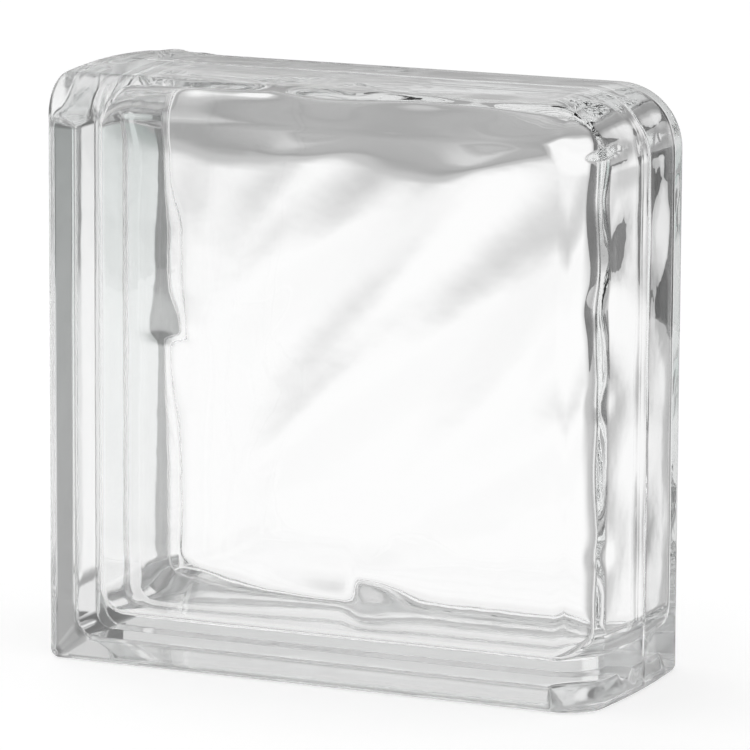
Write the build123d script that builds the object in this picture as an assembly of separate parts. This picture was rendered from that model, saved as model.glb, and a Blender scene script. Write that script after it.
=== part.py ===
from build123d import *
from math import cos, exp, pi, radians, sqrt, tan
import os

# A hollow pressed-glass wall block of the double-end kind, in millimetres.
# Two pressed dishes are fused mouth to mouth at mid depth. The left and
# bottom sides are mortar sides, with a recessed channel between two flanges.
# The top and right sides are finished: solid, crowned and round-edged.
# X is across, Y is the depth with the front face toward -Y, Z is up.
# The origin is the middle of the footprint, on the floor.

# Overall size
WIDTH = 190.0
HEIGHT = 190.0
DEPTH = 80.0

# Finished sides
CROWN_RISE = 2.5
FACE_EDGE_RADIUS = 13.0
CORNER_RADIUS = 22.0
SEAM_GROOVE = 0.4

# Mortar sides
FLANGE_WIDTH = 8.0
CHANNEL_DEPTH = 6.5
CHANNEL_SLOPE = 5.0
CHANNEL_CORNER_RADIUS = 6.0
CHANNEL_END = 14.0
SEAM_BEAD_HEIGHT = 2.5
SEAM_BEAD_WIDTH = 5.0
CHANNEL_FILLET = 2.0
LIP_RADIUS = 1.2
RIM_RADIUS = 2.2
FLANGE_CORNER_RADIUS = 3.0

# Hollow inside each dish
PLATE_THICKNESS = 9.2
MORTAR_WALL = 14.0
FINISHED_WALL = 7.5
WALL_DRAFT = 2.0
HOLLOW_CORNER_RADIUS = 10.0
PLATE_FILLET = 5.5
INNER_SEAM_HEIGHT = 1.2
INNER_SEAM_WIDTH = 2.5

# Wave relief sunk into the inner face of each plate
WAVE_HEIGHT = 1.1
WAVE_LENGTH = 57.0
WAVE_OFFSET = 14.5
WAVE_ACROSS = 0.83
WAVE_DOWN = 0.56
SWIRL_SHIFT = 36.0
SWIRL_AT = (-60.0, 100.0)
SWIRL_SPREAD = (35.0, 45.0)
WAVE_MARGIN = 6.0
WAVE_FADE = 22.0
WAVE_EDGE_STEP = 0.12
WAVE_STEPS = 48

# Worked out from the sizes above
HALF_DEPTH = DEPTH / 2
LEFT = -WIDTH / 2
CORNER_X = WIDTH / 2 - CORNER_RADIUS
CORNER_Z = HEIGHT - CORNER_RADIUS
HOLLOW_DEPTH = HALF_DEPTH - PLATE_THICKNESS
HOLLOW_WIDTH = WIDTH - MORTAR_WALL - FINISHED_WALL
HOLLOW_HEIGHT = HEIGHT - MORTAR_WALL - FINISHED_WALL
HOLLOW_X = (MORTAR_WALL - FINISHED_WALL) / 2
HOLLOW_Z = MORTAR_WALL + HOLLOW_HEIGHT / 2


def side_face(profile, origin, outward):
    """Stands a section across a side: its X becomes +Y and its Y points along outward."""
    normal = Vector(0, 1, 0).cross(Vector(outward))
    return Plane(origin=origin, x_dir=(0, 1, 0), z_dir=normal).location * profile


def run_and_turn(profile, corner, outward, length):
    """Carries a section straight along a side to a corner centre, then a quarter turn round it."""
    face = side_face(profile, corner, outward)
    along = Vector(0, 1, 0).cross(Vector(outward))
    run = extrude(face, amount=length, dir=-along)
    return run + revolve(face, Axis(corner, (0, 1, 0)), revolution_arc=90)


def along_finished_sides(profile, overrun=0.0):
    """Carries a section along the top, round the corner and down the right side."""
    corner = (CORNER_X, 0, CORNER_Z)
    top_and_turn = run_and_turn(profile, corner, (0, 0, 1), CORNER_X - LEFT + overrun)
    right_face = side_face(profile, corner, (1, 0, 0))
    return top_and_turn + extrude(right_face, amount=CORNER_Z + overrun, dir=(0, 0, -1))


def finished_profile():
    """Half section of a finished side, crowned and round-edged, out from the corner centre."""
    crown_radius = (HALF_DEPTH**2 + CROWN_RISE**2) / (2 * CROWN_RISE)
    quarter = HALF_DEPTH / 2
    drop = crown_radius - sqrt(crown_radius**2 - quarter**2)
    apex = (0, CORNER_RADIUS)
    edge = (HALF_DEPTH, CORNER_RADIUS - CROWN_RISE)
    crown = ThreePointArc(apex, (quarter, CORNER_RADIUS - drop), edge)
    sides = Polyline(edge, (HALF_DEPTH, 0), (0, 0), apex)
    face = make_face(Curve() + [crown, sides])
    face_corner = face.vertices().sort_by(Axis.X)[-2:].sort_by(Axis.Y)[-1]
    return fillet(face_corner, FACE_EDGE_RADIUS)


def seam_groove_profile():
    """Half of the fine V left where the two finished edges meet."""
    root = (0, CORNER_RADIUS - SEAM_GROOVE)
    mouth = CORNER_RADIUS + SEAM_GROOVE
    return make_face(Polyline(root, (2 * SEAM_GROOVE, mouth), (0, mouth), root))


def channel_profile():
    """Half section of the mortar channel: X from the seam toward the face, Y in from the flanges."""
    bead_top = CHANNEL_DEPTH - SEAM_BEAD_HEIGHT
    bead_radius = (SEAM_BEAD_WIDTH**2 + SEAM_BEAD_HEIGHT**2) / (2 * SEAM_BEAD_HEIGHT)
    halfway = SEAM_BEAD_WIDTH / 2
    bead_side = bead_top + bead_radius - sqrt(bead_radius**2 - halfway**2)
    bead_foot = (SEAM_BEAD_WIDTH, CHANNEL_DEPTH)
    bead = ThreePointArc((0, bead_top), (halfway, bead_side), bead_foot)
    lip = HALF_DEPTH - FLANGE_WIDTH
    slope_foot = (lip - CHANNEL_SLOPE, CHANNEL_DEPTH)
    lip_end = (lip + 2 * LIP_RADIUS, -LIP_RADIUS / 2)
    outside = -CHANNEL_DEPTH
    past_lip = Polyline(lip_end, (lip_end[0], outside), (0, outside), (0, bead_top))
    rest = Polyline(bead_foot, slope_foot, (lip, 0), lip_end)
    face = make_face(Curve() + [bead, rest, past_lip])
    feet = face.vertices().sort_by(Axis.Y)[-2:]
    face = fillet(feet, CHANNEL_FILLET)
    lip_corner = face.vertices().sort_by_distance((lip, 0))[0]
    return fillet(lip_corner, LIP_RADIUS)


def channel_cut():
    """The recess up the left side and along the bottom, joined round the bottom-left corner."""
    profile = channel_profile()
    left_face = side_face(profile, (LEFT, 0, 0), (1, 0, 0))
    left_run = extrude(left_face, amount=HEIGHT - CHANNEL_END, dir=(0, 0, 1))
    bottom_face = side_face(profile, (LEFT, 0, 0), (0, 0, 1))
    bottom_run = extrude(bottom_face, amount=WIDTH - CHANNEL_END, dir=(1, 0, 0))
    centre = CHANNEL_DEPTH + CHANNEL_CORNER_RADIUS
    turn_axis = Axis((LEFT + centre, 0, centre), (0, -1, 0))
    turn = revolve(Pos(0, 0, centre) * left_face, turn_axis, revolution_arc=90)
    return left_run + bottom_run + turn


def spans(edge, axis):
    """The lowest and highest place of an edge along X, Y or Z."""
    box = edge.bounding_box()
    return getattr(box.min, axis), getattr(box.max, axis)


def lies_at(edge, axis, place):
    """True where a whole edge lies at one place along an axis."""
    low, high = spans(edge, axis)
    return abs(low - place) < 0.01 and abs(high - place) < 0.01


def is_rim(edge):
    """True for an edge round the outside of a mortar side, at the face or on a finished wall's end."""
    on_mortar_side = lies_at(edge, "X", LEFT) or lies_at(edge, "Z", 0)
    at_face = spans(edge, "Y")[1] > HALF_DEPTH - 0.1
    on_top_end = spans(edge, "Z")[0] > HEIGHT - CHANNEL_END + 1
    on_right_end = spans(edge, "X")[0] > WIDTH / 2 - CHANNEL_END + 1
    on_bullnose = (at_face or on_top_end or on_right_end) and spans(edge, "Y")[1] > 0.1
    return on_mortar_side and on_bullnose


def rounded(half):
    """Rounds the flange's bottom-left corner and the rims of the mortar sides, as fire polishing does."""
    corner = [e for e in half.edges() if lies_at(e, "X", LEFT) and lies_at(e, "Z", 0)]
    half = fillet(corner, FLANGE_CORNER_RADIUS)
    rim = [e for e in half.edges() if is_rim(e)]
    return fillet(rim, RIM_RADIUS)


def wave(x, z, lean):
    """How deep the relief is sunk at a place on a plate. Its grooves lean right or left."""
    swirl_x = (lean * x - SWIRL_AT[0]) / SWIRL_SPREAD[0]
    swirl_z = (z - SWIRL_AT[1]) / SWIRL_SPREAD[1]
    swirl = SWIRL_SHIFT * exp(-(swirl_x**2) - swirl_z**2)
    run = WAVE_ACROSS * lean * x - WAVE_DOWN * (z - HEIGHT / 2) + swirl + WAVE_OFFSET
    turn = 2 * pi * run / WAVE_LENGTH
    return WAVE_HEIGHT * (1 + cos(turn) + cos(2 * turn) / 4)


def fade(place, half_span):
    """1 over the middle of a plate, falling to 0 at the edge of the relief."""
    inside = (half_span - WAVE_MARGIN - abs(place)) / WAVE_FADE
    share = min(max(inside, 0), 1)
    return share * share * (3 - 2 * share)


def relief(lean):
    """The wavy pad of air sunk into a plate, standing on the flat floor of the dish."""
    half_x = HOLLOW_WIDTH / 2
    half_z = HOLLOW_HEIGHT / 2
    steps = [2 * n / WAVE_STEPS - 1 for n in range(WAVE_STEPS + 1)]
    grid = []
    for across in [half_x * step for step in steps]:
        row = []
        for up in [half_z * step for step in steps]:
            x = HOLLOW_X + across
            z = HOLLOW_Z + up
            sunk = WAVE_EDGE_STEP + fade(across, half_x) * fade(up, half_z) * wave(x, z, lean)
            row.append((x, HOLLOW_DEPTH + sunk, z))
        grid.append(row)
    face = Face.make_surface_from_array_of_points(grid, tol=0.02, min_deg=3, max_deg=3)
    pad = extrude(face, amount=PLATE_THICKNESS, dir=(0, -1, 0))
    size_x = HOLLOW_WIDTH - 2 * WAVE_MARGIN
    size_z = HOLLOW_HEIGHT - 2 * WAVE_MARGIN
    outline = RectangleRounded(size_x, size_z, HOLLOW_CORNER_RADIUS)
    start = Plane(
        origin=(HOLLOW_X, HOLLOW_DEPTH - PLATE_THICKNESS / 2, HOLLOW_Z),
        x_dir=(1, 0, 0),
        z_dir=(0, 1, 0),
    )
    return pad & extrude(start.location * outline, amount=PLATE_THICKNESS, dir=(0, 1, 0))


def dish_profile():
    """Half section of the plunger's side, out from its corner centre: thick rim, drafted wall, fillet."""
    rim = HOLLOW_CORNER_RADIUS - INNER_SEAM_HEIGHT
    draft = (HOLLOW_DEPTH - INNER_SEAM_WIDTH) * tan(radians(WALL_DRAFT))
    floor_corner = (HOLLOW_DEPTH, HOLLOW_CORNER_RADIUS - draft)
    rim_foot = (INNER_SEAM_WIDTH, HOLLOW_CORNER_RADIUS)
    outline = Polyline((0, 0), (0, rim), rim_foot, floor_corner, (HOLLOW_DEPTH, 0), (0, 0))
    face = make_face(outline)
    return fillet(face.vertices().sort_by_distance(floor_corner)[0], PLATE_FILLET)


def hollow(lean):
    """What the plunger leaves: a drafted dish with a wavy floor and a thick rim where it is fused."""
    straight_x = HOLLOW_WIDTH - 2 * HOLLOW_CORNER_RADIUS
    straight_z = HOLLOW_HEIGHT - 2 * HOLLOW_CORNER_RADIUS
    core = Box(straight_x, HOLLOW_DEPTH, straight_z, align=(Align.CENTER, Align.MIN, Align.CENTER))
    dish = Pos(HOLLOW_X, 0, HOLLOW_Z) * core
    profile = dish_profile()
    for outward, across, up, length in (
        ((0, 0, 1), 1, 1, straight_x),
        ((1, 0, 0), 1, -1, straight_z),
        ((0, 0, -1), -1, -1, straight_x),
        ((-1, 0, 0), -1, 1, straight_z),
    ):
        corner = (HOLLOW_X + across * straight_x / 2, 0, HOLLOW_Z + up * straight_z / 2)
        dish += run_and_turn(profile, corner, outward, length)
    return dish + relief(lean)


def pressed_outside():
    """The outside of one half, from the seam at Y 0 to its face, filled solid."""
    low_corner = (Align.MIN, Align.MIN, Align.MIN)
    core = Pos(LEFT, 0, 0) * Box(CORNER_X - LEFT, HALF_DEPTH, CORNER_Z, align=low_corner)
    half = core + along_finished_sides(finished_profile()) - channel_cut()
    return rounded(half) - along_finished_sides(seam_groove_profile(), overrun=RIM_RADIUS)


os.makedirs("parts", exist_ok=True)
outside = pressed_outside()
back_half = outside - hollow(lean=-1)
front_half = mirror(outside - hollow(lean=1), about=Plane.XZ)
export_step(front_half, "parts/front_half.step")
export_step(back_half, "parts/back_half.step")
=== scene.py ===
from math import cos, pi, radians, sin

import bpy
import numpy as np
from mathutils import Matrix, Vector

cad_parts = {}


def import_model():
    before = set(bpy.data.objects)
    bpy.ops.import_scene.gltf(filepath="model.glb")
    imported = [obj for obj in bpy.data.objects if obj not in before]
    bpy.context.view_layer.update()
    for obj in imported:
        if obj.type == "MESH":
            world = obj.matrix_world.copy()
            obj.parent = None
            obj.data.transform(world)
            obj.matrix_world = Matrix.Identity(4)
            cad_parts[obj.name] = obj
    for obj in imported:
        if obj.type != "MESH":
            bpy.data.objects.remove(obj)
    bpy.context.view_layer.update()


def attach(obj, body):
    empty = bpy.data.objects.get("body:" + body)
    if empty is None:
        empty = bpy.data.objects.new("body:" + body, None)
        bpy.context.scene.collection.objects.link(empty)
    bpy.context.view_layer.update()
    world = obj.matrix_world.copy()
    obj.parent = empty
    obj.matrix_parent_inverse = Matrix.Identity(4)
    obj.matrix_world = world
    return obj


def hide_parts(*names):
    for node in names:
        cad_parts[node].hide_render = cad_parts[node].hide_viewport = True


# A clear hollow wall block of fused pressed glass. Lengths are in millimetres until the
# mesh is made. X is across, Y is the depth with the front face toward -Y, Z is up.

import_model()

# Outside
LEFT = -95.0
RIGHT = 95.0
TOP = 190.0
HALF_DEPTH = 40.0
CORNER_RADIUS = 22.0
CROWN_RISE = 2.5
EDGE_RADIUS = 13.0
RIM_RADIUS = 2.2
FOOT_RADIUS = 3.0
GROOVE_DEPTH = 0.4
GROOVE_WIDTH = 0.55

# Mortar channel, and how near its top end the floor rises to the flanges
LIP_PLACE = 32.0
SLOPE_WIDTH = 5.0
CHANNEL_DEPTH = 6.5
CHANNEL_TURN = 6.0
CHANNEL_END = 14.0
BEAD_HEIGHT = 2.5
BEAD_WIDTH = 5.0
END_LOW = 166.0
END_SLOPE = 5.0
FOOT_FROM = 16.0
BEND_RUN = 0.2

# Lumps of the fused glass. Each is its place along the finished sides from that end, its place
# in the depth, how far it spreads along and across, and its height. The last end's is a dent.
LEFT_LUMPS = ((9, 31, 5, 6, 1.2), (19, 33, 3.5, 5, 0.8), (13, 22, 4, 4, 0.5))
RIGHT_LUMPS = ((10, 3, 5, 4, -0.5),)

# Inside
HOLLOW_HALF = 84.25
HOLLOW_X = 3.25
HOLLOW_Z = 98.25
HOLLOW_DEPTH = 30.8
HOLLOW_CORNER = 10.0
WALL_DRAFT = radians(2.0)
PLATE_FILLET = 5.5
MORTAR_FILLET = 3.0
SEAM_HEIGHT = 0.15
SEAM_WIDTH = 2.5

# Waves of the plates: a share of the run across and down, and a shift
WAVE_LENGTH = 47.4
WAVE_HEIGHT = 0.8
WAVE_ACROSS = 0.8
WAVE_DOWN = 0.6
WAVE_SHIFT = 0.9
WAVE_SHARE = 0.7

# The plates slope inward above a wavy line by their top edge
BORDER_Z = 167.0
BORDER_SWAY = 2.4
BORDER_SLOPE = 0.2

# Swells of the finished walls. A top one is its place across and in the depth, its two spreads
# and its height. A right one is its height up, its reach up and down, and how far in it comes.
SWELL_TOP = 0.3
SWELL_RIGHT = 0.25
TOP_SWELLS = ((-22, -20, 6, 6, 2.0), (5, -18, 7, 5, 1.6), (48, -14, 14, 9, 2.6), (-22, -8, 9, 6, -1.4))
RIGHT_SWELLS = ((158, 10, 0.4), (126, 6, 0.4), (96, 5, 0.3), (48, 4, 0.3))

# Glass. The polish is in metres.
GLASS_IOR = 1.52
POLISH_DEPTH = 1.5e-4
COAT_ROUGHNESS = 0.07
COAT_STRENGTH = 0.09
COAT_THROUGH = 0.8

# Light against direction: degrees round from +Y toward +X, and degrees above the horizon. The
# box is a broad soft light on the left.
WORLD_SIDEWAYS = (
    (-180, 0.9), (-110, 0.9), (-95, 0.9), (-62, 0.9), (-48, 0.95), (-36, 1.0), (-21, 1.0),
    (-12, 0.5), (-4, 0.36), (18, 0.36), (28, 0.85), (90, 0.9), (180, 0.9),
)
WORLD_UPWARD = (
    (-90, 0.9), (-40, 0.9), (-28, 0.95), (-18, 1.0), (-10, 1.0), (-5, 0.55), (-1, 0.36),
    (6, 0.42), (15, 0.7), (24, 0.36), (38, 0.36), (60, 0.65), (90, 0.75),
)
BOX_SIDEWAYS = ((-180, 0), (-135, 0), (-120, 0.92), (-52, 0.92), (-42, 0), (180, 0))
BOX_UPWARD = ((-90, 0), (-45, 0), (-35, 0.92), (30, 0.92), (45, 0), (90, 0))
FLOOR_GLOW = 0.6
CARD_GLOW = 0.1

# Camera, with lengths in pixels of a picture 750 wide, and the distance in metres
PICTURE = 750
CAMERA_YAW = radians(24.777)
CAMERA_PITCH = radians(10.39)
CAMERA_ROLL = radians(0.276)
CAMERA_DISTANCE = 1.9247
CAMERA_FOCAL = 6051.7
CAMERA_CENTRE = (370.55, 370.35)

# Mesh: cells across a plate, the distance under which points are one, and the normals' step
FLOOR_CELLS = 84
WELD = 2e-3
TINY = 1e-4

# Derived from the sizes above
CORNER_X = RIGHT - CORNER_RADIUS
CORNER_Z = TOP - CORNER_RADIUS
CROWN_RADIUS = (HALF_DEPTH**2 + CROWN_RISE**2) / (2 * CROWN_RISE)
CROWN_CENTRE = CORNER_RADIUS - CROWN_RADIUS
EDGE_Y = HALF_DEPTH - EDGE_RADIUS
EDGE_OUT = CROWN_CENTRE + ((CROWN_RADIUS - EDGE_RADIUS) ** 2 - EDGE_Y**2) ** 0.5
EDGE_START = np.arcsin(EDGE_Y / (CROWN_RADIUS - EDGE_RADIUS))
PATH = (CORNER_X - LEFT - RIM_RADIUS, CORNER_RADIUS * pi / 2, CORNER_Z - RIM_RADIUS)
HOLLOW_STRAIGHT = HOLLOW_HALF - HOLLOW_CORNER
MIDDLE = np.array([0, 0, TOP / 2])


def soft_max(a, b, blend):
    """The larger of two heights, rounded where they cross."""
    share = np.clip(0.5 + 0.5 * (a - b) / blend, 0, 1)
    return b + (a - b) * share + blend * share * (1 - share)


def soft_min(a, b, blend):
    """The smaller of two heights, rounded where they cross."""
    return -soft_max(-a, -b, blend)


def smooth(x):
    """Eases from 0 to 1 as x goes from 0 to 1."""
    x = np.clip(x, 0, 1)
    return x * x * (3 - 2 * x)


def bumps(a, b, places):
    """Smooth round bumps. Each place is its two coordinates, its two spreads and its height."""
    total = 0
    for at_a, at_b, spread_a, spread_b, height in places:
        total = total + height * np.exp(-(((a - at_a) / spread_a) ** 2) - ((b - at_b) / spread_b) ** 2)
    return total


def channel_section(y):
    """Depth of the mortar channel below the flanges, with the seam bead along its middle."""
    away = np.abs(y)
    sunk = soft_max((LIP_PLACE - away) * CHANNEL_DEPTH / SLOPE_WIDTH, 0 * away, 0.9)
    sunk = soft_min(sunk, 0 * away + CHANNEL_DEPTH, 1.6)
    radius = (BEAD_WIDTH**2 + BEAD_HEIGHT**2) / (2 * BEAD_HEIGHT)
    inside = np.maximum(radius**2 - np.minimum(away, radius) ** 2, 0)
    bead = np.sqrt(inside) - (radius - BEAD_HEIGHT)
    return sunk - soft_max(bead, 0 * away, 1.2)


class Skin:
    """Gathers patches of a closed surface, each with exact normals. The normals point away from
    the middle where outward is 1, and toward it where outward is -1."""

    def __init__(self, outward):
        self.outward = outward
        self.points = []
        self.normals = []
        self.faces = []
        self.finishes = []
        self.count = 0

    def patch(self, surface, us, vs, finish=0):
        """Adds surface(u, v) over a grid. Normals come from small steps along u and v."""
        u, v = np.meshgrid(np.asarray(us, float), np.asarray(vs, float), indexing="ij")
        here = surface(u, v)
        du = surface(u + TINY, v) - surface(u - TINY, v)
        dv = surface(u, v + TINY) - surface(u, v - TINY)
        normal = np.cross(du, dv) * np.sign(us[-1] - us[0]) * np.sign(vs[-1] - vs[0])
        length = np.linalg.norm(normal, axis=-1, keepdims=True)
        normal = np.where(length > TINY**3, normal / np.maximum(length, TINY**3), 0)
        side = np.sum(normal * (here - MIDDLE)) * self.outward
        rows, columns = u.shape
        index = self.count + np.arange(rows * columns).reshape(rows, columns)
        corners = [index[:-1, :-1], index[1:, :-1], index[1:, 1:], index[:-1, 1:]]
        quads = np.stack([c.ravel() for c in corners], axis=-1)
        if side < 0:
            normal = -normal
            quads = quads[:, ::-1]
        self.points.append(here.reshape(-1, 3))
        self.normals.append(normal.reshape(-1, 3))
        self.faces += quads.tolist()
        self.finishes += [finish] * len(quads)
        self.count += rows * columns
        return here

    def flat(self, outline, normal):
        """Adds one flat face with that outline."""
        outline = np.asarray(outline, float)
        turned = np.cross(outline, np.roll(outline, -1, axis=0)).sum(axis=0)
        ring = list(range(self.count, self.count + len(outline)))
        self.points.append(outline)
        self.normals.append(np.tile(normal, (len(outline), 1)))
        self.faces.append(ring if np.dot(turned, normal) > 0 else ring[::-1])
        self.finishes.append(0)
        self.count += len(outline)


def along_rim(w):
    """A finished side's section, drawn in by the rim radius. w runs from -2 at the front face
    through 0 at the seam to 2 at the back face. Gives y, how far out, and the outward normal."""
    away = np.abs(w)
    side = np.sign(w)
    turn = EDGE_START * away
    on_edge = away > 1
    turn = np.where(on_edge, EDGE_START + (away - 1) * (pi / 2 - EDGE_START), turn)
    reach = np.where(on_edge, EDGE_RADIUS, CROWN_RADIUS) - RIM_RADIUS
    y = np.where(on_edge, EDGE_Y, 0) + reach * np.sin(turn)
    out = np.where(on_edge, EDGE_OUT, CROWN_CENTRE) + reach * np.cos(turn)
    return side * y, out, side * np.sin(turn), np.cos(turn)


def at_depth(y):
    """The w at which a finished side's drawn-in section has that y."""
    away = abs(y)
    crown = np.arcsin(min(away / (CROWN_RADIUS - RIM_RADIUS), 1))
    if crown <= EDGE_START:
        return float(np.sign(y) * crown / EDGE_START)
    turn = np.arcsin((away - EDGE_Y) / (EDGE_RADIUS - RIM_RADIUS))
    return float(np.sign(y) * (1 + (turn - EDGE_START) / (pi / 2 - EDGE_START)))


def seam_groove(w, u):
    """Depth of the fine, slightly wandering groove where the two finished edges are fused."""
    y = along_rim(w)[0] - 0.3 * np.sin(u / 11) - 0.15 * np.sin(u / 4.3)
    return GROOVE_DEPTH * np.exp(-((y / GROOVE_WIDTH) ** 2)) * (1 + 0.3 * np.sin(u / 17))


def lump(u, y):
    """Height of the fused glass's lumps, at a place along the finished sides and in the depth."""
    return bumps(u, y, LEFT_LUMPS) + bumps(sum(PATH) - u, y, RIGHT_LUMPS)


def both_ways(values):
    """Those values and their negatives, in order, each once."""
    return sorted({-v for v in values} | set(values))


def finished_strip(u, w):
    """Point on a finished side: u runs along the top, round the corner and down the right."""
    y, out, across, upward = along_rim(w)
    rise = RIM_RADIUS - seam_groove(w, u) + lump(u, y) * upward
    y = y + rise * across
    out = out + rise * upward
    turn = np.clip((u - PATH[0]) / CORNER_RADIUS, 0, pi / 2)
    x = CORNER_X + np.minimum(u - PATH[0], 0) + out * np.sin(turn)
    down = np.maximum(u - PATH[0] - PATH[1], 0)
    z = CORNER_Z + out * np.cos(turn) - down
    return np.stack([x, y, z], axis=-1)


def rim_end(w, turn, at_right):
    """Point on the rim round the end of a finished side."""
    y, out, across, upward = along_rim(w)
    place = sum(PATH) if at_right else 0.0
    rise = (RIM_RADIUS - seam_groove(w, place) * np.cos(turn) + lump(place, y) * upward) * np.cos(turn)
    y = y + rise * across
    out = out + rise * upward
    cut = RIM_RADIUS * (1 - np.sin(turn))
    if at_right:
        return np.stack([CORNER_X + out, y, cut], axis=-1)
    return np.stack([LEFT + cut, y, CORNER_Z + out], axis=-1)


def rim_foot(place, turn, side):
    """Point on the rim of a flange. place is the height up the left side, then 0 to -1 round the
    foot, and below -1 the way along the bottom."""
    angle = np.clip(-place, 0, 1) * pi / 2
    reach = FOOT_RADIUS - RIM_RADIUS * (1 - np.sin(turn))
    y = side * (HALF_DEPTH - RIM_RADIUS + RIM_RADIUS * np.cos(turn))
    x = LEFT + FOOT_RADIUS - reach * np.cos(angle) + np.maximum(-place - 1, 0)
    z = FOOT_RADIUS - reach * np.sin(angle) + np.maximum(place, 0)
    return np.stack([x, y, z], axis=-1)


def channel_floor(u, w):
    """Point in the mortar channel. u runs down the closed top end (0 to 1), the left side (1 to
    2), round the foot (2 to 3), along the bottom (3 to 4) and to the closed right end (4 to 5)."""
    y, out = along_rim(w)[:2]
    right = u > 2.5
    t = np.where(right, 5 - u, u)
    top = CORNER_Z + out
    on_end = top + (END_LOW - top) * t
    on_side = END_LOW + (FOOT_FROM - END_LOW) * (t - 1)
    place = np.where(t < 1, on_end, on_side)
    sunk = channel_section(y) * smooth((TOP - CHANNEL_END - place) / END_SLOPE)
    turn_at = FOOT_RADIUS + (CHANNEL_DEPTH + CHANNEL_TURN - FOOT_RADIUS) * sunk / CHANNEL_DEPTH
    bend = np.clip(u - 2, 0, 1)
    angle = np.clip((bend - BEND_RUN) / (1 - 2 * BEND_RUN), 0, 1) * pi / 2
    before = np.clip((BEND_RUN - bend) / BEND_RUN, 0, 1) * (FOOT_FROM - turn_at)
    after = np.clip((bend - 1 + BEND_RUN) / BEND_RUN, 0, 1) * (FOOT_FROM - turn_at)
    reach = turn_at - sunk
    x = turn_at - reach * np.cos(angle) + after
    z = turn_at - reach * np.sin(angle) + before
    x = np.where(u < 2, sunk, np.where(u > 3, place, x))
    z = np.where(u < 2, place, np.where(u > 3, sunk, z))
    return np.stack([LEFT + x, y, z], axis=-1)


def waves(x, z, side):
    """How deep the relief is sunk at a place on a plate. One mould presses both halves, and the back
    one is turned half round about a diagonal, so across and up change places on it. The waves fade
    out toward the walls, and come in where the photograph shows them."""
    across, up = (x, z - TOP / 2) if side < 0 else (z - TOP / 2, x)
    turn = 2 * pi * (WAVE_ACROSS * across - WAVE_DOWN * up + WAVE_SHIFT) / WAVE_LENGTH
    height = WAVE_HEIGHT * (1 + np.cos(turn) + np.cos(2 * turn) / 4)
    if side > 0:
        strength = smooth((x + 74) / 30) * smooth((z - 22) / 40) * smooth((84 - x) / 25)
    else:
        strength = smooth((x + 45) / 35) * smooth((z - 40) / 60) * smooth((90 - x) / 25)
    strength = WAVE_SHARE * strength * smooth((180 - z) / 14)
    border = BORDER_Z - BORDER_SWAY * np.cos((x + 31) / 10.6) + 5 * smooth((x - 45) / 35)
    ends = smooth((84 - x) / 14) * smooth((x + 80) / 25)
    rise = soft_max(z - border, 0 * z, 3.0) * BORDER_SLOPE * ends
    return height * strength - rise + (kinks(x, z) if side < 0 else 0)


def kinks(x, z):
    """Two creases of the front plate, by its bottom edge and by its left edge. Each is a ramp that
    turns sharply from one slope to the other, and fades out on both sides of its line."""
    turn = smooth((x - 6) / 8)
    before = -0.15 * np.exp(-(((x - 4) / 20) ** 2)) * (1 - turn)
    low = before + 0.19 * np.exp(-(((x - 14) / 13) ** 2)) * turn + 0.1 * smooth((-20 - x) / 30)
    up = z - 32
    turn = smooth((z - 104) / 5)
    above = 0.1 * np.exp(-(((z - 110) / 9) ** 2)) * turn - 0.13 * smooth((z - 140) / 25)
    side = above - 0.1 * np.exp(-(((z - 102) / 18) ** 2)) * (1 - turn)
    across = x + 52
    return low * up * np.exp(-((up / 8) ** 2)) + side * across * np.exp(-((across / 7) ** 2))


def swells(x, y, z):
    """How far the finished walls swell out at a place: the top one, and the right one."""
    top = 0.7 * np.cos(x / 12 + 0.5 + y / 60) * np.cos((y - 4) / 13)
    top = top + 0.4 * np.sin(x / 6.7 - y / 9 + 2) + bumps(x, y, TOP_SWELLS)
    right = np.sin(z / 11 + 0.4) * np.cos(y / 12 - z / 35) + 0.6 * np.sin(z / 6.3 + y / 13 + 1)
    return np.stack([top * SWELL_TOP, right * SWELL_RIGHT])


def hollow_section(v, fillet):
    """Half section of the hollow: distance from the seam plane and distance out from the corner
    centre. v runs from 0 at the seam to 1 at the fillet, 2 at the plate and 3 at the corner centre."""
    foot = HOLLOW_DEPTH - fillet * (1 - np.sin(WALL_DRAFT))
    foot_out = HOLLOW_CORNER - foot * np.tan(WALL_DRAFT)
    turn = np.clip(v - 1, 0, 1) * (pi / 2 - WALL_DRAFT) + WALL_DRAFT
    centre = foot_out - fillet * np.cos(WALL_DRAFT)
    depth = np.where(v < 1, foot * v, HOLLOW_DEPTH - fillet * (1 - np.sin(turn)))
    out = np.where(v < 1, HOLLOW_CORNER - depth * np.tan(WALL_DRAFT), centre + fillet * np.cos(turn))
    out = np.where(v > 2, centre * (3 - v), out)
    depth = np.where(v > 2, HOLLOW_DEPTH, depth)
    bead = SEAM_HEIGHT * np.exp(-((depth / SEAM_WIDTH) ** 2))
    return depth, out - bead


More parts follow.
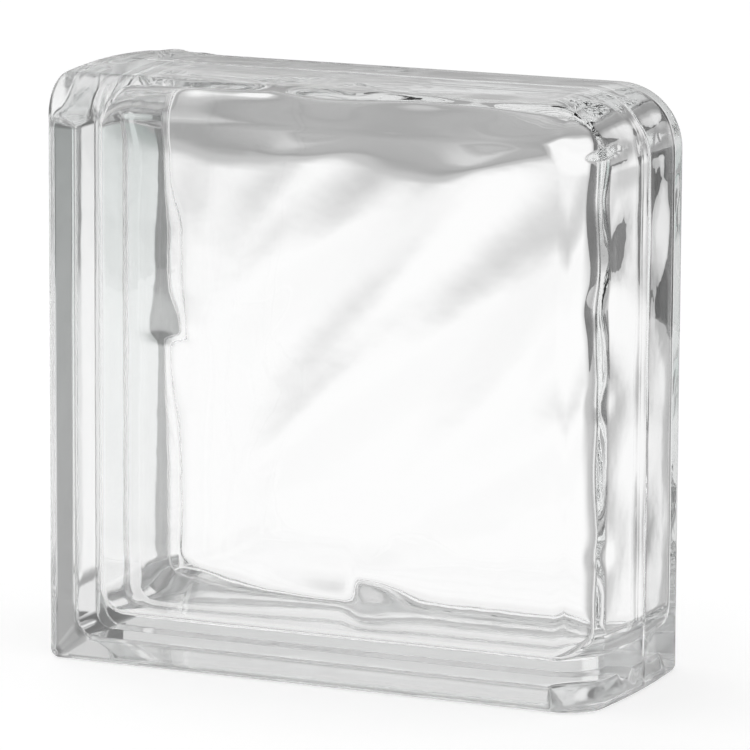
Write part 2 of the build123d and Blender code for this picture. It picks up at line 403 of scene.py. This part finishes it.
def hollow_wall(u, v, side):
    """Point on the hollow's wall. u goes round it in eight runs: top, corner, right, corner, bottom,
    corner, left, corner. The fillet by the plate is larger on the finished sides."""
    finished = np.where(u < 4, 1 - smooth(u - 3), smooth(u - 7))
    fillet = MORTAR_FILLET + (PLATE_FILLET - MORTAR_FILLET) * finished
    depth, out = hollow_section(v, fillet)
    part = np.floor(u % 8 / 2)
    share = u % 2
    turn = np.clip(share - 1, 0, 1) * pi / 2
    along = (np.minimum(share, 1) * 2 - 1) * HOLLOW_STRAIGHT
    a = along + out * np.sin(turn)
    away = HOLLOW_DEPTH - depth
    up = HOLLOW_Z - along
    fade = smooth((1 - np.abs(2 * share - 1)) / 0.2) * smooth(away / 8)
    top, right = swells(HOLLOW_X + along, side * depth, up)
    swell = fade * np.select([part == 0, part == 1], [top, right], 0)
    by_plate = smooth(away / 3) * np.exp(-(((away - 5) / 5) ** 2)) * (part == 1) * (side < 0)
    for height, reach, inward in RIGHT_SWELLS:
        swell = swell - inward * by_plate * np.exp(-(((up - height) / reach) ** 2))
    b = HOLLOW_STRAIGHT + (out + swell) * np.cos(turn)
    x = HOLLOW_X + np.select([part == 0, part == 1, part == 2], [a, b, -a], -b)
    z = HOLLOW_Z + np.select([part == 0, part == 1, part == 2], [b, -a, -b], a)
    joined = smooth((depth - HOLLOW_DEPTH + fillet + 3) / (fillet + 3))
    return np.stack([x, side * (depth + joined * waves(x, z, side)), z], axis=-1)


def hollow_floor(x, z, side):
    """Point on the flat middle of a plate's inner face."""
    return np.stack([x, side * (HOLLOW_DEPTH + waves(x, z, side)), z], axis=-1)


def arc(count, start=0.0, end=pi / 2):
    """That many equal steps from start to end."""
    return np.linspace(start, end, count + 1)


def outer_skin():
    """The block's outside: finished sides, mortar channel, flanges and the two faces."""
    skin = Skin(1)
    edge = [1 + k / 14 for k in range(15)]
    lip = [at_depth(y) for y in (33.5, 33.1, 32.7, 32.4, 32.1, 31.8, 31.2, 30.2, 29.2, 28.2)]
    near = (27.5, 27, 26.5, 26, 25.2, 23, 18, 12, 8, 6.4, 5.6, 5, 4.4, 3.6, 2.6, 1.8, 1.2)
    near = near + (0.9, 0.6, 0.4, 0.2, 0)
    lip_w = lip[0]
    columns = both_ways([w for w in edge if w > lip_w + 0.02] + lip + [at_depth(y) for y in near])
    top_us = np.concatenate([np.linspace(0, 30, 25), np.linspace(30, PATH[0], 34)])
    turn_us = PATH[0] + np.linspace(0, PATH[1], 25)
    right_us = PATH[0] + PATH[1] + np.linspace(0, PATH[2], 40)
    us = np.unique(np.concatenate([top_us, turn_us, right_us]))
    strip = skin.patch(finished_strip, us, columns)

    half_rows = np.concatenate([np.linspace(0, 1, 41), np.linspace(1, 2, 41)[1:]])
    before = np.linspace(0, BEND_RUN, 5)[1:]
    bend = np.linspace(BEND_RUN, 1 - BEND_RUN, 13)[1:]
    after = np.linspace(1 - BEND_RUN, 1, 5)[1:]
    rows = np.concatenate([half_rows, 2 + before, 2 + bend, 2 + after, 5 - half_rows[::-1][1:]])
    channel_columns = [w for w in columns if abs(w) <= lip_w + 1e-9]
    channel = skin.patch(channel_floor, rows, channel_columns, 1)

    rim = arc(5)
    skin.patch(lambda w, turn: rim_end(w, turn, False), columns, rim)
    skin.patch(lambda w, turn: rim_end(w, turn, True), columns, rim)
    foot_turn = np.linspace(0, 1, 13)
    end = CORNER_Z + EDGE_OUT - FOOT_RADIUS
    places = np.concatenate([[end], -foot_turn, [-1 - end]])
    for side in (-1, 1):
        skin.patch(lambda p, turn: rim_foot(p, turn, side), places, rim)
        edge_line = channel[:, 0 if side < 0 else -1]
        lip_y = abs(float(edge_line[0][1]))

        def flange_turn(p, t):
            """Point on the flange's turn round the foot, from its rim to the channel."""
            flat = rim_foot(p, pi / 2 + 0 * p, side)
            y = side * (HALF_DEPTH - RIM_RADIUS + (lip_y - HALF_DEPTH + RIM_RADIUS) * t)
            return np.stack([flat[..., 0], y, flat[..., 2]], axis=-1)

        skin.patch(flange_turn, -foot_turn, [0, 1])

        ends = [w for w in columns if side * w >= lip_w - 1e-9]
        ends = ends if side > 0 else ends[::-1]
        left_end = rim_end(np.array(ends), np.full(len(ends), pi / 2), False)
        right_end = rim_end(np.array(ends), np.full(len(ends), pi / 2), True)
        left_line = [p for p in edge_line if p[2] > FOOT_RADIUS - 1e-6 and p[0] < LEFT + 0.1]
        bottom_line = [p for p in edge_line if p[0] > LEFT + FOOT_RADIUS - 1e-6 and p[2] < 0.1]
        foot = rim_foot(np.array([0.0, -1.0]), np.full(2, pi / 2), side)
        skin.flat(list(left_end) + [foot[0]] + left_line[::-1][:-1], (-1, 0, 0))
        skin.flat(list(right_end) + [foot[1]] + bottom_line[:-1], (0, 0, -1))

        face_line = strip[:, 0 if side < 0 else -1]
        corner = rim_foot(-foot_turn, 0 * foot_turn, side)
        skin.flat(list(face_line) + list(corner[::-1]), (0, side, 0))
    return skin


def inner_skin():
    """The hollow's surface: its walls, and the wavy insides of the two plates."""
    skin = Skin(-1)
    straight = np.linspace(0, 1, FLOOR_CELLS + 1)
    bends = 1 + np.linspace(0, 1, 9)[1:]
    us = np.concatenate([k * 2 + np.concatenate([straight, bends])[:-1] for k in range(4)] + [[8.0]])
    seam = np.array([0, 0.4, 0.8, 1.2, 1.6, 2.1, 2.7, 3.4, 4.5, 6.5, 10, 14, 18, 22]) / 26.5
    vs = np.concatenate([seam, [0.92, 1], 1 + arc(10, 0, 1)[1:], [2.5, 3]])
    for side in (-1, 1):
        skin.patch(lambda u, v: hollow_wall(u, v, side), us, vs)
        grid = (straight * 2 - 1) * HOLLOW_STRAIGHT
        skin.patch(lambda x, z: hollow_floor(x, z, side), HOLLOW_X + grid, HOLLOW_Z + grid)
    return skin


def welded(skins):
    """One mesh of those skins. Points that coincide become one, and keep their mean normal."""
    points = np.concatenate([np.concatenate(s.points) for s in skins])
    normals = np.concatenate([np.concatenate(s.normals) for s in skins])
    faces = []
    start = 0
    for s in skins:
        faces += [[start + i for i in f] for f in s.faces]
        start += s.count
    keys = np.round(points / WELD).astype(np.int64)
    unique, first, inverse = np.unique(keys, axis=0, return_index=True, return_inverse=True)
    inverse = inverse.ravel()
    mean = np.zeros((len(unique), 3))
    np.add.at(mean, inverse, normals)
    mean /= np.maximum(np.linalg.norm(mean, axis=1, keepdims=True), 1e-12)
    kept = []
    finishes = []
    every = [f for s in skins for f in s.finishes]
    for face, finish in zip(faces, every):
        ring = [int(inverse[i]) for i in face]
        ring = [p for k, p in enumerate(ring) if p != ring[k - 1]]
        if len(ring) > 2:
            kept.append(ring)
            finishes.append(finish)
    mesh = bpy.data.meshes.new("glass_block")
    mesh.from_pydata((points[first] / 1000).tolist(), [], kept)
    mesh.polygons.foreach_set("use_smooth", [True] * len(mesh.polygons))
    mesh.polygons.foreach_set("material_index", finishes)
    mesh.normals_split_custom_set_from_vertices(mean.tolist())
    return mesh


def blank_tree(owner):
    """The emptied node tree of a material or the world."""
    owner.use_nodes = True
    owner.node_tree.nodes.clear()
    return owner.node_tree


def node(tree, kind, **values):
    """Adds a node, with plain values for its named inputs."""
    made = tree.nodes.new(kind)
    for name, value in values.items():
        made.inputs[name.replace("_", " ")].default_value = value
    return made


def feed(tree, socket, value):
    """Gives a socket a plain number, or links it to another node's output."""
    if isinstance(value, (int, float)):
        socket.default_value = value
    else:
        tree.links.new(value, socket)


def math_node(tree, operation, *values):
    """A Math node over outputs or plain numbers."""
    made = tree.nodes.new("ShaderNodeMath")
    made.operation = operation
    for socket, value in zip(made.inputs, values):
        feed(tree, socket, value)
    return made.outputs[0]


def mixed(tree, share, first, second):
    """A mix of two shaders, with that share of the second."""
    made = tree.nodes.new("ShaderNodeMixShader")
    for socket, value in zip(made.inputs, (share, first, second)):
        feed(tree, socket, value)
    return made.outputs[0]


def fire_polish(tree, surface):
    """The faint unevenness that flame leaves on pressed glass, in broad soft waves and fine ones."""
    place = tree.nodes.new("ShaderNodeTexCoord")
    height = 0.0
    for scale, share in ((38, 1.0), (150, 0.18)):
        noise = node(tree, "ShaderNodeTexNoise", Scale=scale, Detail=1.5, Roughness=0.4)
        tree.links.new(place.outputs["Object"], noise.inputs["Vector"])
        height = math_node(tree, "MULTIPLY_ADD", noise.outputs[0], share, height)
    uneven = node(tree, "ShaderNodeBump", Strength=1.0, Distance=POLISH_DEPTH)
    tree.links.new(height, uneven.inputs["Height"])
    tree.links.new(uneven.outputs[0], surface.inputs["Normal"])


def glass(name, roughness, coated):
    """Clear soda-lime glass with the faint grey-green of its iron. Coated, it has the thin pale coat
    that mortar sides are given."""
    material = bpy.data.materials.new(name)
    tree = blank_tree(material)
    clear = node(tree, "ShaderNodeBsdfPrincipled", Base_Color=(1, 1, 1, 1), Transmission_Weight=1.0)
    clear.inputs["Roughness"].default_value = roughness
    clear.inputs["IOR"].default_value = GLASS_IOR
    fire_polish(tree, clear)
    surface = clear.outputs[0]
    if coated:
        near = node(tree, "ShaderNodeBsdfDiffuse", Color=(0.93, 0.94, 0.94, 1))
        through = node(tree, "ShaderNodeBsdfTranslucent", Color=(0.96, 0.97, 0.97, 1))
        coat = mixed(tree, COAT_THROUGH, near.outputs[0], through.outputs[0])
        surface = mixed(tree, COAT_STRENGTH, surface, coat)
    volume = node(tree, "ShaderNodeVolumeAbsorption", Color=(0.92, 0.96, 0.95, 1), Density=1.1)
    out = tree.nodes.new("ShaderNodeOutputMaterial")
    tree.links.new(surface, out.inputs["Surface"])
    tree.links.new(volume.outputs[0], out.inputs["Volume"])
    return material


def ramp(tree, angle, span, stops):
    """Light against an angle between minus and plus span, from stops in degrees."""
    made = tree.nodes.new("ShaderNodeValToRGB")
    made.color_ramp.interpolation = "EASE"
    points = made.color_ramp.elements
    while len(points) < len(stops):
        points.new(0.5)
    for point, (degrees, light) in zip(points, stops):
        point.position = 0.5 + 0.5 * degrees / span
        point.color = (light, light, light, 1)
    share = math_node(tree, "MULTIPLY_ADD", angle, 0.5 / radians(span), 0.5)
    tree.links.new(share, made.inputs[0])
    return made.outputs[0]


def world():
    """Light that is white low behind the block and greyer above the horizon and straight behind,
    with a broad soft light on the left. The camera sees it as white."""
    made = bpy.data.worlds.new("studio")
    bpy.context.scene.world = made
    tree = blank_tree(made)
    place = tree.nodes.new("ShaderNodeTexCoord")
    parts = tree.nodes.new("ShaderNodeSeparateXYZ")
    tree.links.new(place.outputs["Generated"], parts.inputs[0])
    x, y, z = parts.outputs
    sideways = math_node(tree, "ARCTAN2", x, y)
    upward = math_node(tree, "ARCSINE", z)
    light = 0.0
    for stops_sideways, stops_upward in ((WORLD_SIDEWAYS, WORLD_UPWARD), (BOX_SIDEWAYS, BOX_UPWARD)):
        shares = ramp(tree, sideways, 180, stops_sideways), ramp(tree, upward, 90, stops_upward)
        light = math_node(tree, "MAXIMUM", light, math_node(tree, "MULTIPLY", *shares))
    path = tree.nodes.new("ShaderNodeLightPath")
    light = math_node(tree, "MAXIMUM", light, path.outputs["Is Camera Ray"])
    back = node(tree, "ShaderNodeBackground", Color=(1, 1, 1, 1))
    tree.links.new(light, back.inputs["Strength"])
    out = tree.nodes.new("ShaderNodeOutputWorld")
    tree.links.new(back.outputs[0], out.inputs["Surface"])


def staged_panel(name, corners):
    """A flat panel that isn't part of the block. Gives the object and its empty material tree."""
    mesh = bpy.data.meshes.new(name)
    mesh.from_pydata(corners, [], [(0, 1, 2, 3)])
    made = bpy.data.objects.new(name, mesh)
    bpy.context.scene.collection.objects.link(made)
    material = bpy.data.materials.new(name)
    mesh.materials.append(material)
    return made, blank_tree(material)


def floor():
    """Pale floor that shows white round the block and keeps its shadow. The glass looks through it."""
    tree = staged_panel("floor", [(-3, -3, -2e-4), (3, -3, -2e-4), (3, 3, -2e-4), (-3, 3, -2e-4)])[1]
    paint = node(tree, "ShaderNodeBsdfDiffuse", Color=(0.9, 0.9, 0.9, 1))
    glow = node(tree, "ShaderNodeEmission", Color=(1, 1, 1, 1), Strength=FLOOR_GLOW)
    clear = node(tree, "ShaderNodeBsdfTransparent", Color=(1, 1, 1, 1))
    lit = tree.nodes.new("ShaderNodeAddShader")
    tree.links.new(paint.outputs[0], lit.inputs[0])
    tree.links.new(glow.outputs[0], lit.inputs[1])
    path = tree.nodes.new("ShaderNodeLightPath")
    by_glass = path.outputs["Is Transmission Ray"], path.outputs["Is Glossy Ray"]
    through = math_node(tree, "MAXIMUM", *by_glass)
    out = tree.nodes.new("ShaderNodeOutputMaterial")
    tree.links.new(mixed(tree, through, lit.outputs[0], clear.outputs[0]), out.inputs["Surface"])


def card():
    """Dark card that stands behind the block, out of the picture."""
    corners = [(-0.09, 0.64, 0), (0.34, 0.64, 0), (0.34, 0.64, 0.5), (-0.09, 0.64, 0.5)]
    made, tree = staged_panel("card", corners)
    glow = node(tree, "ShaderNodeEmission", Color=(1, 1, 1, 1), Strength=CARD_GLOW)
    out = tree.nodes.new("ShaderNodeOutputMaterial")
    tree.links.new(glow.outputs[0], out.inputs["Surface"])
    made.visible_camera = False
    made.visible_diffuse = False
    made.visible_shadow = False


def camera():
    """Long lens, to the right of the block and a little above it."""
    flat = cos(CAMERA_PITCH)
    back = Vector((sin(CAMERA_YAW) * flat, -cos(CAMERA_YAW) * flat, sin(CAMERA_PITCH)))
    level = Vector((cos(CAMERA_YAW), sin(CAMERA_YAW), 0))
    above = back.cross(level)
    right = level * cos(CAMERA_ROLL) + above * sin(CAMERA_ROLL)
    up = above * cos(CAMERA_ROLL) - level * sin(CAMERA_ROLL)
    data = bpy.data.cameras.new("camera")
    data.sensor_width = 36
    data.lens = CAMERA_FOCAL * data.sensor_width / PICTURE
    data.shift_x = (PICTURE / 2 - CAMERA_CENTRE[0]) / PICTURE
    data.shift_y = (CAMERA_CENTRE[1] - PICTURE / 2) / PICTURE
    data.clip_end = 20
    made = bpy.data.objects.new("camera", data)
    bpy.context.scene.collection.objects.link(made)
    made.matrix_world = Matrix((right, up, back)).transposed().to_4x4()
    made.location = Vector((0, 0, TOP / 2000)) + back * CAMERA_DISTANCE
    bpy.context.scene.camera = made


block = bpy.data.objects.new("glass_block", welded([outer_skin(), inner_skin()]))
bpy.context.scene.collection.objects.link(block)
block.data.materials.append(glass("clear_glass", 0.0, False))
block.data.materials.append(glass("coated_glass", COAT_ROUGHNESS, True))
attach(block, "root")
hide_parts("front_half", "back_half")
camera()
world()
floor()
card()
scene = bpy.context.scene
scene.view_settings.view_transform = "Standard"
scene.cycles.max_bounces = 40
scene.cycles.glossy_bounces = 24
scene.cycles.transmission_bounces = 40
